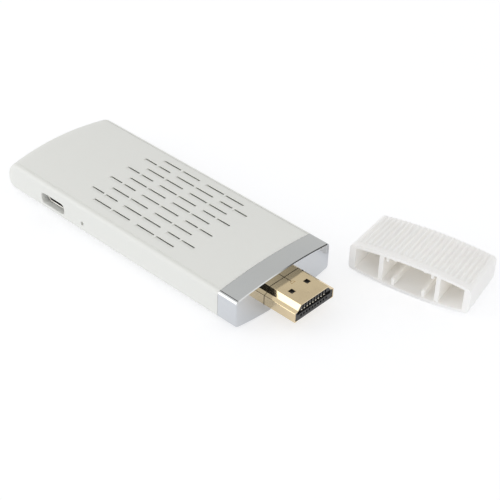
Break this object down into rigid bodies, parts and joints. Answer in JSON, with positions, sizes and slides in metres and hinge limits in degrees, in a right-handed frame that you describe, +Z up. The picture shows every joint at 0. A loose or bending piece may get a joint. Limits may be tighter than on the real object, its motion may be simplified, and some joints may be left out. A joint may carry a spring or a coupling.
{
  "type": "wireless display dongle",
  "caption": "Flat white dongle with a vent grille, plated bezel and gold video plug, a micro socket and reset pinhole in its side, and its ribbed push-on plug cap taken off.",
  "frame": {"origin": "middle of the flat strip under the body, on the surface that it rests on", "axes": "+X along the body towards its plug, +Z up through the lid, and the side with the micro socket and the pinhole faces -Y"},
  "size_m": [0.1197, 0.0589, 0.0099],
  "materials": {
    "white_plastic": "satin",
    "cap_plastic": "satin",
    "bright_plate": "mirror plated",
    "pale_gold_plate": "polished plate",
    "contact_gold": "polished",
    "black_insulator": "moulded",
    "board_laminate": "solder mask",
    "screw_steel": "zinc plated",
    "tinned_sheet": "tinned",
    "chip_black": "moulded",
    "ferrite_grey": "pressed",
    "capacitor_tan": "fired ceramic",
    "resistor_black": "glazed",
    "led_lens": "clear resin",
    "pad_grey": "soft pad",
    "spreader_aluminium": "brushed",
    "socket_tongue_plastic": "moulded",
    "switch_base_black": "moulded",
    "plunger_plastic": "moulded"
  },
  "bodies": {
    "body": {"top_cover": "white_plastic", "bottom_case": "white_plastic", "chrome_bezel": "bright_plate", "plug_shell": "pale_gold_plate", "plug_insulator": "black_insulator", "plug_contacts_upper": "contact_gold", "plug_contacts_lower": "contact_gold", "circuit_board": "board_laminate", "board_screws": "screw_steel", "main_processor": "chip_black", "memory_chips": "chip_black", "flash_chip": "chip_black", "power_chip": "chip_black", "power_inductors": "ferrite_grey", "ceramic_capacitors": "capacitor_tan", "chip_resistors": "resistor_black", "main_crystal": "tinned_sheet", "status_led": "led_lens", "thermal_pad": "pad_grey", "heat_spreader": "spreader_aluminium", "radio_module": "board_laminate", "radio_shield": "tinned_sheet", "wifi_aerial": "tinned_sheet", "usb_shell": "tinned_sheet", "usb_tongue": "socket_tongue_plastic", "usb_contacts": "contact_gold", "reset_switch_base": "switch_base_black", "reset_switch_cover": "tinned_sheet", "reset_dome": "tinned_sheet"},
    "cap": {"cap": "cap_plastic"},
    "reset_plunger": {"reset_plunger": "plunger_plastic"}
  },
  "joints": [
    {"name": "cap_pull", "type": "slide", "parent": "body", "child": "cap", "axis": [-0.1908, 0.9816, 0], "range_m": [0, 0.01]},
    {"name": "reset_press", "type": "slide", "parent": "body", "child": "reset_plunger", "axis": [0, 1, 0], "range_m": [0, 0.00025], "stiffness_N_per_m": 1000}
  ]
}
